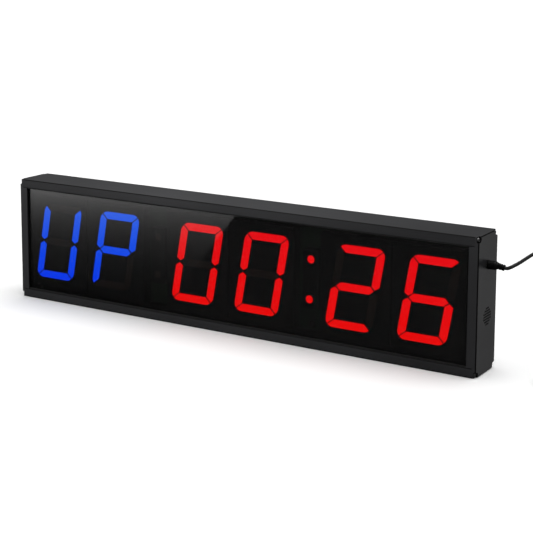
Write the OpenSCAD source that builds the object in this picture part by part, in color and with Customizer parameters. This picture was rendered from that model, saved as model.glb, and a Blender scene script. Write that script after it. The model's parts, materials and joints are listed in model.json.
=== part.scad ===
// Gym round timer: six seven-segment digits behind a smoked panel, in a slim
// case of two aluminium rails and two end caps, with its 12 V power lead.
// Millimetres. +Z is up, the display faces -Y, the power socket is at +X.
// The origin is the centre of the underside.

/* [Case] */
// Length over both end caps
body_l = 650; // [640:1:700]
// Height
body_h = 158; // [154:1:170]
// Depth, front lip to rear lip
body_d = 53; // [52:0.5:60]
// Height of the rails' front lips, and the width of the side strips
lip_h = 11; // [10:0.5:12]
// Wall thickness of the rails
wall = 2; // [1.6:0.1:2.2]
// Thickness of each end cap's plate
cap_t = 5; // [4.5:0.5:6]
// Depth of the screw recesses at the end caps' corners
recess_depth = 3; // [2.4:0.1:3.2]

/* [Display] */
// Height of a digit
digit_h = 100; // [96:0.5:102]
// Width of a digit, before it leans
digit_w = 61.5; // [58:0.5:64]
// Lean of the digits, in degrees
lean = 10; // [6:0.5:10]
// Width of the upright segments
upright_w = 10.4; // [9:0.1:12]
// Width of the level segments
level_w = 9.6; // [9:0.1:12]
// Distance between the two digits of a pair
digit_pitch = 92.5; // [92:0.5:95]
// Distance between pairs
pair_pitch = 218.5; // [216:0.5:221]
// How far the display sits from the middle of the case
display_shift = -1; // [-5:0.5:0]
// Height of the middle of the digits
display_z = 78.5; // [77:0.5:80]
// Diameter of the colon dots
dot_d = 9.5; // [8:0.5:12]
// How far each colon sits right of the middle between its pairs
colon_shift = 4; // [0:0.5:5]

/* [Sound and power] */
// Height of the middle of the speaker
speaker_z = 64.5; // [50:0.5:80]
// How far back from the middle the speaker sits
speaker_y = 1.5; // [-2:0.5:2]
// Distance between the sound holes
sound_pitch = 3; // [2.8:0.1:3.2]
// Height of the power socket
socket_z = 123; // [110:1:126]
// Diameter of the power lead
lead_d = 4; // [3.4:0.1:4]

/* [Hanging] */
// Distance between the two hangers
hanger_spacing = 400; // [300:10:460]

/* [Hidden] */
$fn = 48;
e = 0.01;
half_l = body_l / 2;
front = -body_d / 2;
back = body_d / 2;
rail_l = body_l - 2 * cap_t;
inner_end = half_l - cap_t;

// Rails, measured from a rail's own outer face
corner_round = 1.2;
screw_inset = 3.6;
boss_r = 3.3;
pilot_r = 1.25;
screw_head_r = 2.4;
step_w = 6.6;
screw_head_h = 2;
cap_screw_r = 1.2;
cap_screw_l = 10;
screw_clear_r = 1.7;
panel_rib_y = front + 6.3;
panel_rib_t = 1.8;
rear_lip_t = 1.5;
rear_lip_h = 15;
hanger_rib_y = back - 6.1;
hanger_rib_t = 1.6;
hanger_rib_h = 13;
back_panel_y = 14;
back_panel_t = 2;
slot_gap = 0.3;
slot_rib_t = 1.6;
slot_rib_h = 9;

// Front panel and its seals
panel_t = 2.5;
panel_y = front + 3.5;
panel_edge = 7.4;
panel_end_gap = 7.5;
seal_show = 1.2;

// Digits
module_w = 90;
module_h = 122;
module_front = panel_y + panel_t + 1;
module_depth = 14;
lens_depth = 3;
lens_set_back = 0.4;
corner_r = 10;
mitre_gap = 0.8;
tip_gap = 1.2;
tip_slope = 0.7;
middle_shoulder = 0.78;
dot_rise = 24;
dot_lean = 2;
colon_z = display_z + 2.5;
colon_w = 20;
colon_h = 70;
patterns = ["bcdef", "abefg", "abcdef", "abcdef", "abdeg", "acdefg"];
digit_x = [for (pair = [-1:1]) for (side = [-0.5, 0.5])
    display_shift + pair * pair_pitch + side * digit_pitch];
colon_x = [for (side = [-0.5, 0.5]) display_shift + colon_shift + side * pair_pitch];

// Boards
board_t = 1.6;
board_l = 619;
board_h = 124;
board_x = -6.5;
board_y = module_front + module_depth;
board_back = board_y + board_t;
post_x = [-290, colon_x[0], colon_x[1], 290];
post_z = [25, 133];
post_r = 3;
post_screw_r = 1.2;
post_screw_l = 8;
post_inset = 5;
control_l = 90;
control_h = 60;
control_x = 205;
control_z = 80;
control_y = 6;

// Sound
speaker_r = 12.3;
speaker_depth = 6.4;
magnet_r = 6.5;
magnet_t = 5;
grille_r = 10.4;
sound_hole_r = 0.95;
pad_t = 2;
pad_x = inner_end - pad_t;

// Power socket and plug
socket_flange_r = 5.6;
socket_flange_t = 1;
socket_barrel_r = 3.9;
socket_bore_r = 2.83;
socket_bore_depth = 11;
socket_depth = 15;
socket_pin_r = 1;
plug_gap = 0.2;
plug_r = 4.9;
plug_l = 11;
plug_barrel_r = 2.75;
plug_barrel_bore_r = 1.08;
plug_barrel_l = 9.6;
boot_l = 8.4;
boot_r = 3.9;
boot_end_r = 3.2;
boot_droop = 10;
plug_x = half_l + plug_gap;
boot_x = plug_x + plug_l;
lead_x = boot_x + boot_l * cos(boot_droop);
lead_z = socket_z - boot_l * sin(boot_droop);

// Hangers
hanger_w = 44;
hanger_h = 40;
hanger_t = 2.4;
hanger_y = hanger_rib_y + hanger_rib_t + 0.3;
hanger_top = body_h - screw_inset - boss_r - 0.3;
keyhole_drop = 26;
keyhole_r = 4.5;
keyhole_neck_w = 5;
keyhole_neck_l = 10;

// The lead's stretch from the plug to its coil, then from the coil to the
// adapter, as points that the lead passes through
lead_r = lead_d / 2;
coil_x = 394;
coil_y = 96;
coil_in_r = 11.8;
coil_out_r = 20;
coil_bottom = 0.6;
coil_layers = 6;
coil_skin = 0.2;
coil_top = coil_bottom + coil_layers * lead_d + 0.5;
tie_t = 0.45;
tie_w = 5;
lead_route = [
    [lead_x, 0, lead_z], [347.5, 0.5, 121.5], [350, 1.5, 122.5], [352, 3, 123.5],
    [353.5, 6, 124.5], [354.5, 9.5, 125], [354.5, 13.5, 125], [353.5, 18.5, 124.5],
    [353, 24.5, 124], [352.5, 31.5, 124], [354, 39, 125.5], [355.5, 47, 127],
    [357, 54.5, 128], [357, 62, 125.5], [356.5, 69, 120], [356, 75, 112], [356, 80, 101.5],
    [356, 85, 89], [356, 90, 75], [356, 94.5, 60.5], [356.5, 98.5, 46], [358, 102.5, 32],
    [361, 107, 19.5], [366, 111.5, 10], [373, 116, 4.6], [382.5, 119.6, 2.9],
    [392.5, 120.4, 2.65], [403.5, 117, 2.65], [410.8, 110.1, 2.65], [413.9, 102, 2.65],
    [coil_x + coil_out_r, coil_y, 2.65]];
tail_route = [
    [coil_x + 20, coil_y, 23.1], [coil_x + 20.2, 89, 22.7], [coil_x + 20.2, 83, 20.6],
    [coil_x + 20, 77.5, 17.3], [coil_x + 20, 72.5, 15.3], [coil_x + 20, 68, 15]];

// Wall adapter, lying beside the coil with its blades towards the front
adapter_w = 44;
adapter_l = 64;
adapter_h = 30;
adapter_x = coil_x + 20;
adapter_front = -8;
adapter_round = 4;
relief_l = 12;
blade_l = 16;
blade_w = 6.3;
blade_t = 1.5;
blade_gap = 12.7;

// ---- Shared shapes ----

module rounded_square(w, h, r) {
    for (size = [[w, h - 2 * r], [w - 2 * r, h]])
        square(size, center = true);
    for (x = [-1, 1]) for (y = [-1, 1])
        translate([x * (w / 2 - r), y * (h / 2 - r)]) circle(r = r);
}

// Stands a flat (y, z) outline up and extrudes it along X
module along_x(length) {
    rotate([90, 0, 90]) linear_extrude(height = length) children();
}

// Stands a flat (x, z) outline up and extrudes it backwards along Y
module backwards(depth) {
    rotate([90, 0, 0]) mirror([0, 0, 1]) linear_extrude(height = depth) children();
}

// Turns a shape drawn round Z so that its top points along +X
module facing_right() {
    rotate([0, 90, 0]) children();
}

// Turns a shape drawn round Z so that its top points along +Y
module facing_back() {
    rotate([-90, 0, 0]) children();
}

module each_corner() {
    for (y = [-1, 1]) for (z = [0, 1])
        translate([y * (body_d / 2 - screw_inset),
                   z == 0 ? screw_inset : body_h - screw_inset]) children();
}

// A tube along points, with the frame carried from ring to ring
function unit(v) = v / norm(v);
function tangents(p) = [for (i = [0:len(p) - 1])
    unit(p[min(i + 1, len(p) - 1)] - p[max(i - 1, 0)])];
function carried(t, start) = [
    for (i = 0, n = unit(start - (start * t[0]) * t[0]); i < len(t);
         i = i + 1, n = i < len(t) ? unit(n - (n * t[i]) * t[i]) : n) n];
function smooth_at(p, i, f) =
    let (a = p[max(i - 1, 0)], b = p[i], c = p[i + 1], d = p[min(i + 2, len(p) - 1)])
    0.5 * (2 * b + (c - a) * f + (2 * a - 5 * b + 4 * c - d) * f * f
        + (3 * b - a - 3 * c + d) * f * f * f);
function smooth(p, steps) = concat(
    [for (i = [0:len(p) - 2]) for (s = [0:steps - 1]) smooth_at(p, i, s / steps)],
    [p[len(p) - 1]]);

module tube_along(points, r, sides, start = [0, 0, 1]) {
    t = tangents(points);
    n = carried(t, start);
    rings = len(points);
    corners = [for (i = [0:rings - 1]) for (k = [0:sides - 1])
        let (a = 360 * k / sides, side = cross(t[i], n[i]))
        points[i] + r * (cos(a) * n[i] + sin(a) * side)];
    walls = [for (i = [0:rings - 2]) for (k = [0:sides - 1])
        let (j = (k + 1) % sides)
        [i * sides + k, (i + 1) * sides + k, (i + 1) * sides + j, i * sides + j]];
    first = [for (k = [0:sides - 1]) k];
    last = [for (k = [sides - 1:-1:0]) (rings - 1) * sides + k];
    polyhedron(corners, concat([first], walls, [last]), convexity = 6);
}

// ---- Case ----

module rail_section() {
    difference() {
        intersection() {
            translate([0, body_h / 2]) rounded_square(body_d, body_h, corner_round);
            union() {
                translate([front, 0]) square([body_d, wall]);
                translate([front, 0]) square([wall, lip_h]);
                translate([panel_rib_y, 0]) square([panel_rib_t, lip_h + 1]);
                translate([back - rear_lip_t, 0]) square([rear_lip_t, rear_lip_h]);
                translate([hanger_rib_y, 0]) square([hanger_rib_t, hanger_rib_h]);
                for (y = [back_panel_y - slot_gap - slot_rib_t,
                          back_panel_y + back_panel_t + slot_gap])
                    translate([y, 0]) square([slot_rib_t, slot_rib_h]);
                for (y = [-1, 1])
                    translate([y * (body_d / 2 - screw_inset), screw_inset]) circle(r = boss_r);
            }
        }
        for (y = [-1, 1])
            translate([y * (body_d / 2 - screw_inset), screw_inset]) circle(r = pilot_r);
    }
}

module bottom_rail() {
    color("#26272a") translate([-rail_l / 2, 0, 0]) along_x(rail_l) rail_section();
}

module top_rail() {
    color("#26272a") translate([0, 0, body_h]) mirror([0, 0, 1])
        translate([-rail_l / 2, 0, 0]) along_x(rail_l) rail_section();
}

// A quarter-round corner step, drawn with its sharp corner at the origin
module corner_step() {
    side = step_w;
    translate([-e, -e]) square([side / 2 + e, side + e]);
    translate([-e, -e]) square([side + e, side / 2 + e]);
    translate([side / 2, side / 2]) circle(r = side / 2);
}

module cap_outline() {
    translate([0, body_h / 2]) rounded_square(body_d, body_h, corner_round);
}

// Shaves the long edges of the outer face at 45 degrees
module edge_bevels() {
    bevel = 1.6;
    for (y = [-1, 1])
        translate([half_l, y * body_d / 2, body_h / 2]) rotate([0, 0, 45])
            cube([bevel, bevel, body_h + 2], center = true);
    for (z = [0, body_h])
        translate([half_l, 0, z]) rotate([0, 45, 0])
            cube([bevel, body_d + 2, bevel], center = true);
}

module blank_cap() {
    strip_w = lip_h + 0.5 - cap_t;
    pad_edge = lip_h + 1.5;
    difference() {
        union() {
            translate([inner_end, 0, 0]) along_x(cap_t - recess_depth) cap_outline();
            translate([half_l - recess_depth - e, 0, 0]) along_x(recess_depth + e)
                difference() {
                    cap_outline();
                    for (y = [0, 1]) for (z = [0, 1])
                        translate([0, z * body_h]) mirror([0, z]) mirror([y, 0])
                            translate([front, 0]) corner_step();
                }
            translate([inner_end - strip_w, front, lip_h + 0.2])
                cube([strip_w + e, wall, body_h - 2 * lip_h - 0.4]);
            translate([pad_x, front + wall - e, pad_edge])
                cube([pad_t + e, back_panel_y - 2 - front - wall, body_h - 2 * pad_edge]);
        }
        edge_bevels();
        translate([inner_end - e, 0, 0]) along_x(cap_t + 2 * e) each_corner() circle(r = screw_clear_r);
    }
}

module left_end_cap() {
    color("#2b2c2f") mirror([1, 0, 0]) blank_cap();
}

module right_end_cap() {
    color("#2b2c2f") difference() {
        blank_cap();
        translate([pad_x - e, 0, socket_z]) facing_right()
            cylinder(r = socket_barrel_r + 0.1, h = cap_t + pad_t + 2 * e);
        translate([half_l - socket_flange_t, 0, socket_z]) facing_right()
            cylinder(r = socket_flange_r + 0.1, h = socket_flange_t + e);
        for (row = [-3:3]) for (column = [-3:3])
            if (norm([row, column]) * sound_pitch < grille_r)
                translate([pad_x - e, speaker_y + column * sound_pitch,
                           speaker_z + row * sound_pitch])
                    facing_right() cylinder(r = sound_hole_r, h = cap_t + pad_t + 2 * e, $fn = 24);
    }
}

// One pan-head screw with a cross slot, its head's underside at the origin
module pan_screw(head_r, head_h, shank_r, shank_l) {
    difference() {
        union() {
            cylinder(r = head_r, h = head_h * 0.6);
            translate([0, 0, head_h * 0.6 - e]) cylinder(r1 = head_r, r2 = head_r * 0.72, h = head_h * 0.4 + e);
            translate([0, 0, -shank_l]) cylinder(r = shank_r, h = shank_l + e);
        }
        for (a = [0, 90])
            rotate([0, 0, a]) translate([-head_r * 0.55, -head_r * 0.1, head_h * 0.4])
                cube([head_r * 1.1, head_r * 0.2, head_h]);
    }
}

module cap_screws() {
    for (y = [-1, 1]) for (z = [screw_inset, body_h - screw_inset])
        translate([half_l - recess_depth, y * (body_d / 2 - screw_inset), z])
            facing_right() pan_screw(screw_head_r, screw_head_h, cap_screw_r, cap_screw_l);
}

module right_cap_screws() {
    color("#3a3a3c") cap_screws();
}

module left_cap_screws() {
    color("#3a3a3c") mirror([1, 0, 0]) cap_screws();
}

module front_panel() {
    color("#101012") translate([-half_l + panel_end_gap, panel_y, panel_edge])
        cube([body_l - 2 * panel_end_gap, panel_t, body_h - 2 * panel_edge]);
}

module panel_seals() {
    seal_l = body_l - 2 * panel_end_gap - 2;
    color("#0a0a0a") for (z = [panel_edge, body_h - lip_h - seal_show])
        translate([-seal_l / 2, front + wall, z])
            cube([seal_l, panel_y - front - wall, lip_h + seal_show - panel_edge]);
}

module back_panel() {
    plate_l = rail_l - 1;
    plate_edge = wall + 0.4;
    color("#303134") difference() {
        translate([-plate_l / 2, back_panel_y, plate_edge])
            cube([plate_l, back_panel_t, body_h - 2 * plate_edge]);
        for (x = post_x) for (z = post_z)
            translate([x, back_panel_y - e, z]) facing_back()
                cylinder(r = post_screw_r + 0.4, h = back_panel_t + 2 * e);
        for (x = [-1, 1]) for (z = [-1, 1])
            translate([control_x + x * (control_l / 2 - post_inset), back_panel_y - e,
                       control_z + z * (control_h / 2 - post_inset)]) facing_back()
                cylinder(r = post_screw_r + 0.4, h = back_panel_t + 2 * e);
    }
}

// ---- Digits ----

function arc(x, y, from, to) = [for (i = [0:4])
    let (a = from + (to - from) * i / 4) [x + corner_r * cos(a), y + corner_r * sin(a)]];
function moved(points, by) = [for (p = points) p + by];
function flipped(points, x, y) = [for (p = points) [p.x * x, p.y * y]];
function leaning(points) = [for (p = points) [p.x + p.y * tan(lean), p.y]];

half_w = digit_w / 2;
half_h = digit_h / 2;
corner_x = half_w - corner_r;
corner_y = half_h - corner_r;
shoulder = tip_gap + tip_slope * upright_w / 2;
level_tip = half_w - upright_w / 2 - tip_gap;
top_level = concat(
    [[-(half_w - upright_w) + mitre_gap, half_h - level_w]],
    moved(arc(-corner_x, corner_y, 135, 90), [mitre_gap, 0]),
    moved(arc(corner_x, corner_y, 90, 45), [-mitre_gap, 0]),
    [[half_w - upright_w - mitre_gap, half_h - level_w]]);
right_upright = concat(
    moved(arc(corner_x, corner_y, 45, 0), [0, -mitre_gap]),
    [[half_w, shoulder], [half_w - upright_w / 2, tip_gap],
     [half_w - upright_w, shoulder], [half_w - upright_w, half_h - level_w - mitre_gap]]);
middle_level = [for (s = [[-1, 0], [-middle_shoulder, 1], [middle_shoulder, 1],
                           [1, 0], [middle_shoulder, -1], [-middle_shoulder, -1]])
    [s.x * level_tip, s.y * level_w / 2]];

function segment(letter) =
    letter == "a" ? top_level :
    letter == "b" ? right_upright :
    letter == "c" ? flipped(right_upright, 1, -1) :
    letter == "d" ? flipped(top_level, 1, -1) :
    letter == "e" ? flipped(right_upright, -1, -1) :
    letter == "f" ? flipped(right_upright, -1, 1) : middle_level;
function middle_of(letter) =
    letter == "a" ? [0, half_h - level_w / 2] :
    letter == "b" ? [half_w - upright_w / 2, half_h / 2] :
    letter == "c" ? [half_w - upright_w / 2, -half_h / 2] :
    letter == "d" ? [0, -half_h + level_w / 2] :
    letter == "e" ? [-half_w + upright_w / 2, -half_h / 2] :
    letter == "f" ? [-half_w + upright_w / 2, half_h / 2] : [0, 0];
function is_lit(letter, i) = len(search(letter, patterns[i])) > 0;

module segments(letters) {
    for (letter = letters) polygon(leaning(segment(letter)));
}

module digit_housing(i) {
    color("#151517") translate([digit_x[i], module_front, display_z])
        backwards(module_depth) difference() {
            square([module_w, module_h], center = true);
            segments("abcdefg");
        }
}

module digit_lenses(i, lit) {
    letters = [for (letter = "abcdefg") if (is_lit(letter, i) == lit) letter];
    color(lit ? (i < 2 ? "#1040ff" : "#f01020") : "#2a2018")
        translate([digit_x[i], module_front + lens_set_back, display_z])
            backwards(lens_depth) segments(letters);
}

module colon_housings() {
    color("#151517") for (x = colon_x)
        translate([x, module_front, colon_z]) backwards(module_depth) difference() {
            square([colon_w, colon_h], center = true);
            colon_dots();
        }
}

module colon_dots() {
    for (s = [-1, 1])
        translate([s * dot_rise * tan(dot_lean), s * dot_rise]) circle(d = dot_d);
}

module colon_lit_dots() {
    color("#f01020") translate([colon_x[1], module_front + lens_set_back, colon_z])
        backwards(lens_depth) colon_dots();
}

module colon_unlit_dots() {
    color("#2a2018") translate([colon_x[0], module_front + lens_set_back, colon_z])
        backwards(lens_depth) colon_dots();
}

// Surface-mounted light sources, two behind each segment and one behind each dot
module segment_leds() {
    led_w = 3.2;
    led_t = 1.2;
    spread = 10;
    color("#e8e4d0") {
        for (x = digit_x) for (letter = "abcdefg") for (s = [-1, 1])
            let (level = len(search(letter, "adg")) > 0,
                 m = middle_of(letter) + (level ? [s * spread, 0] : [0, s * spread]),
                 at = leaning([m])[0])
            translate([x + at.x - led_w / 2, board_y - led_t, display_z + at.y - led_w / 2])
                cube([led_w, led_t, led_w]);
        for (x = colon_x) for (s = [-1, 1])
            translate([x + s * dot_rise * tan(dot_lean) - led_w / 2, board_y - led_t,
                       colon_z + s * dot_rise - led_w / 2])
                cube([led_w, led_t, led_w]);
    }
}

// ---- Boards ----

module display_board() {
    color("#1f5a34") translate([board_x - board_l / 2, board_y, display_z - board_h / 2])
        cube([board_l, board_t, board_h]);
}

module board_posts() {
    color("#b8954a") for (x = post_x) for (z = post_z)
        translate([x, board_back, z]) facing_back() difference() {
            cylinder(r = post_r, h = back_panel_y - board_back, $fn = 6);
            translate([0, 0, 4]) cylinder(r = pilot_r, h = back_panel_y - board_back);
        }
}

module board_screws() {
    color("#8d8f92") {
        for (x = post_x) for (z = post_z)
            translate([x, back_panel_y + back_panel_t, z]) facing_back()
                pan_screw(screw_head_r, screw_head_h, post_screw_r, post_screw_l);
        for (x = [-1, 1]) for (z = [-1, 1])
            translate([control_x + x * (control_l / 2 - post_inset), back_panel_y + back_panel_t,
                       control_z + z * (control_h / 2 - post_inset)]) facing_back()
                pan_screw(screw_head_r, screw_head_h, post_screw_r, post_screw_l);
    }
}

module control_board() {
    color("#1f5a34") translate([control_x - control_l / 2, control_y, control_z - control_h / 2])
        cube([control_l, board_t, control_h]);
}

module control_posts() {
    color("#e6e2d4") for (x = [-1, 1]) for (z = [-1, 1])
        translate([control_x + x * (control_l / 2 - post_inset), control_y + board_t,
                   control_z + z * (control_h / 2 - post_inset)]) facing_back() difference() {
            cylinder(r = post_r, h = back_panel_y - control_y - board_t, $fn = 6);
            translate([0, 0, 0.4]) cylinder(r = pilot_r, h = 10);
        }
}

module microcontroller() {
    body = [10, 1.6, 10];
    leads = 8;
    color("#18181a") translate([control_x - 5, control_y - body.y - 0.2, control_z - 5]) cube(body);
    color("#c8c8c8") for (s = [-1, 1]) for (i = [0:leads - 1])
        translate([control_x + s * 5.8 - 0.8, control_y - 0.4, control_z - 4.4 + i * 1.2])
            cube([1.6, 0.4, 0.4]);
}

module driver_chips() {
    chip = [10, 2, 6];
    color("#18181a") for (x = [-220, -60, 60])
        translate([x, board_back, 60]) cube(chip);
}

module filter_capacitors() {
    can_r = 4;
    can_h = 8;
    color("#23356e") for (z = [-18, -6])
        translate([control_x + 32, control_y, control_z + z]) rotate([90, 0, 0])
            cylinder(r = can_r, h = can_h);
}

cell_r = 10;
cell_x = control_x - 26;

module cell_holder() {
    rim_r = 12;
    color("#18181a") translate([cell_x, control_y, control_z]) rotate([90, 0, 0]) difference() {
        cylinder(r = rim_r, h = 4);
        translate([0, 0, 0.8]) cylinder(r = cell_r + 0.1, h = 4);
    }
}

module clock_cell() {
    color("#c9cbcd") translate([cell_x, control_y - 0.8, control_z]) rotate([90, 0, 0])
        cylinder(r = cell_r, h = 3.2);
}

module infrared_receiver() {
    color("#1a1416") translate([colon_x[1] - 3, module_front + 3, 22]) {
        cube([6, 5, 7]);
        translate([3, 0.5, 3.5]) sphere(r = 2.4, $fn = 24);
        for (x = [0.6, 2.7, 4.8]) translate([x, 5 - e, 1]) cube([0.6, board_y - module_front - 8, 0.6]);
    }
}

// Flat ribbon between the two boards, folded over once
module board_link() {
    color("#8a8d90") translate([control_x - 8, board_back, control_z + 20]) {
        cube([16, 1.2, 5]);
        translate([0, 0, 5 - e]) cube([16, 1.2, 4]);
        translate([0, 0, 9 - 2 * e]) cube([16, control_y - board_back, 1.2]);
        translate([0, control_y - board_back - 1.2, 5]) cube([16, 1.2, 4 + e]);
    }
}

// ---- Sound ----

module speaker_profile(points) {
    translate([pad_x, speaker_y, speaker_z]) rotate([0, -90, 0])
        rotate_extrude() polygon(points);
}

module speaker_frame() {
    color("#5b5d60") speaker_profile([[11, 0], [speaker_r, 0], [speaker_r, 1.4], [11.4, 1.4],
        [7.6, 5.4], [7.6, speaker_depth], [4.6, speaker_depth], [4.6, 5.4], [6.8, 5.4], [11, 1.2]]);
}

module speaker_cone() {
    color("#1c1a18") speaker_profile([[0, 3], [3, 4], [10.9, 0.4], [10.9, 0.9], [3.2, 4.6], [0, 3.6]]);
}

module speaker_magnet() {
    color("#77797c") translate([pad_x - speaker_depth, speaker_y, speaker_z]) rotate([0, -90, 0])
        cylinder(r = magnet_r, h = magnet_t);
}

// ---- Power socket and plug ----

module power_socket() {
    bore_top = half_l + e;
    color("#1b1b1d") translate([0, 0, socket_z]) difference() {
        union() {
            translate([half_l - socket_flange_t, 0, 0]) facing_right()
                cylinder(r = socket_flange_r, h = socket_flange_t);
            translate([half_l - socket_depth, 0, 0]) facing_right()
                cylinder(r = socket_barrel_r, h = socket_depth);
            translate([half_l - socket_depth - 3, -1, -3]) cube([3 + e, 2, 1]);
            translate([half_l - socket_depth - 3, -1, 2]) cube([3 + e, 2, 1]);
        }
        translate([bore_top - socket_bore_depth, 0, 0]) facing_right() difference() {
            cylinder(r = socket_bore_r, h = socket_bore_depth + e);
            cylinder(r = socket_pin_r, h = socket_bore_depth - 1.5);
        }
    }
}

module socket_nut() {
    color("#8d8f92") translate([pad_x - 2.4, 0, socket_z]) facing_right() difference() {
        cylinder(r = 6.3, h = 2.4, $fn = 6);
        translate([0, 0, -e]) cylinder(r = socket_barrel_r + 0.05, h = 2.4 + 2 * e);
    }
}

module plug_body() {
    round_r = 2;
    color("#0c0c0d") translate([plug_x, 0, socket_z]) facing_right() rotate_extrude() union() {
        square([plug_r - 0.4, plug_l]);
        translate([0, 0.4]) square([plug_r, plug_l - round_r - 0.4]);
        translate([plug_r - round_r, plug_l - round_r]) intersection() {
            circle(r = round_r);
            square(round_r);
        }
    }
}

module plug_barrel() {
    color("#c9b27a") translate([plug_x - plug_barrel_l, 0, socket_z]) facing_right() difference() {
        cylinder(r = plug_barrel_r, h = plug_barrel_l);
        translate([0, 0, -e]) cylinder(r = plug_barrel_bore_r, h = plug_barrel_l - 0.6);
    }
}

// A ribbed cone that droops away from the plug, trimmed flush with the plug's end
module plug_boot() {
    rib_pitch = 2.1;
    rib_w = 1.1;
    run_in = 1.5;
    color("#141415") difference() {
        translate([boot_x, 0, socket_z]) rotate([0, 90 + boot_droop, 0]) {
            translate([0, 0, -run_in]) cylinder(r = boot_r, h = run_in + e);
            cylinder(r1 = boot_r, r2 = boot_end_r, h = boot_l);
            for (i = [0:2])
                translate([0, 0, i * rib_pitch]) cylinder(r = boot_r + 0.2 - i * 0.2, h = rib_w);
            translate([0, 0, boot_l - rib_w]) cylinder(r = boot_end_r + 0.5, h = rib_w);
        }
        translate([boot_x - 2 * boot_r, -2 * boot_r, socket_z - 2 * boot_r])
            cube([2 * boot_r, 4 * boot_r, 4 * boot_r]);
    }
}

// ---- Inside wiring ----

wire_r = 0.7;
wire_end_y = control_y - 0.4;

module wire(points, from) {
    tube_along(smooth(points, 3), wire_r, 8, from);
}

module power_wires() {
    start_x = half_l - socket_depth - 3;
    color("#b01818") wire([[start_x, 0, socket_z + 2.5], [300, 0, socket_z + 2.5],
        [285, 2, socket_z + 1], [270, 3, 116], [258, 3, 104], [250, 2.5, 98],
        [245, 3.2, 96], [244, wire_end_y, 95.6]], [0, 1, 0]);
    color("#141414") wire([[start_x, 0, socket_z - 2.5], [300, 0, socket_z - 3],
        [285, 2, socket_z - 6], [272, 3, 108], [262, 3, 98], [252, 2.5, 91],
        [245, 3.2, 89], [244, wire_end_y, 88.6]], [0, 1, 0]);
}

module speaker_wires() {
    start = [pad_x - speaker_depth - magnet_t, speaker_y, speaker_z];
    color("#b01818") wire([start + [0, 0, 4], [298, 3, speaker_z + 5], [286, 3, speaker_z + 3],
        [272, 3, speaker_z + 1], [258, 2.5, speaker_z + 1], [247, 3.2, speaker_z],
        [246, wire_end_y, speaker_z]], [0, 1, 0]);
    color("#141414") wire([start - [0, 0, 4], [298, 3, speaker_z - 5], [286, 3, speaker_z - 6],
        [272, 3, speaker_z - 6], [258, 2.5, speaker_z - 5], [247, 3.2, speaker_z - 4],
        [246, wire_end_y, speaker_z - 4]], [0, 1, 0]);
}

// ---- Hangers ----

module hanger(side) {
    mid = [side * hanger_spacing / 2, hanger_y, hanger_top - hanger_h / 2];
    color("#9a9da1") translate(mid) backwards(hanger_t) difference() {
        rounded_square(hanger_w, hanger_h, 3);
        translate([0, hanger_h / 2 - keyhole_drop]) {
            circle(r = keyhole_r);
            translate([-keyhole_neck_w / 2, 0]) square([keyhole_neck_w, keyhole_neck_l]);
            translate([0, keyhole_neck_l]) circle(d = keyhole_neck_w);
        }
    }
}

// ---- Lead, coil and adapter ----

module power_lead() {
    color("#111112") {
        tube_along(smooth(lead_route, 2), lead_r, 8);
        tube_along(smooth(tail_route, 2), lead_r, 8);
    }
}

module lead_coil() {
    width = coil_out_r - coil_in_r + lead_d + 2 * coil_skin;
    color("#111112") translate([coil_x, coil_y, 0]) rotate_extrude() translate([
        (coil_in_r + coil_out_r) / 2, (coil_bottom + coil_top) / 2])
            rounded_square(width, coil_top - coil_bottom, 1.5);
}

module coil_tie() {
    clear = 0.1;
    tie_in = sqrt(pow(coil_in_r - lead_r - coil_skin, 2) - pow(tie_w / 2, 2)) - clear;
    tie_out = coil_out_r + lead_r + coil_skin + clear;
    hole_w = tie_out - tie_in;
    hole_h = coil_top - coil_bottom + 2 * clear;
    color("#0a0a0a") translate([coil_x - (tie_in + tie_out) / 2, coil_y + tie_w / 2,
                                (coil_bottom + coil_top) / 2])
        rotate([90, 0, 0]) linear_extrude(height = tie_w) difference() {
            rounded_square(hole_w + 2 * tie_t, hole_h + 2 * tie_t, 1.8);
            rounded_square(hole_w, hole_h, 1.3);
        }
}

module adapter_body() {
    r = adapter_round;
    color("#161618") {
        hull() for (x = [-1, 1]) for (y = [r, adapter_l - r]) for (z = [r, adapter_h - r])
            translate([adapter_x + x * (adapter_w / 2 - r), adapter_front + y, z])
                sphere(r = r, $fn = 24);
        translate([adapter_x, adapter_front + adapter_l - 1, adapter_h / 2]) facing_back()
            cylinder(r1 = 4.4, r2 = 2.4, h = relief_l + 1);
    }
}

module adapter_blades() {
    color("#c8c9cb") for (s = [-1, 1])
        translate([adapter_x + s * blade_gap / 2 - blade_t / 2, adapter_front - blade_l,
                   adapter_h / 2 - blade_w / 2])
            cube([blade_t, blade_l, blade_w]);
}

top_rail();
bottom_rail();
left_end_cap();
right_end_cap();
left_cap_screws();
right_cap_screws();
front_panel();
panel_seals();
back_panel();
for (i = [0:5]) {
    digit_housing(i);
    digit_lenses(i, true);
    digit_lenses(i, false);
}
colon_housings();
colon_lit_dots();
colon_unlit_dots();
segment_leds();
display_board();
board_posts();
board_screws();
control_board();
control_posts();
microcontroller();
driver_chips();
filter_capacitors();
clock_cell();
cell_holder();
infrared_receiver();
board_link();
speaker_frame();
speaker_cone();
speaker_magnet();
speaker_wires();
power_socket();
socket_nut();
power_wires();
hanger(-1);  // hanger_left
hanger(1);  // hanger_right
plug_body();
plug_barrel();
plug_boot();
power_lead();
lead_coil();
coil_tie();
adapter_body();
adapter_blades();
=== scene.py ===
import json
import math

import bmesh
import bpy
from mathutils import Matrix, Vector

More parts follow.
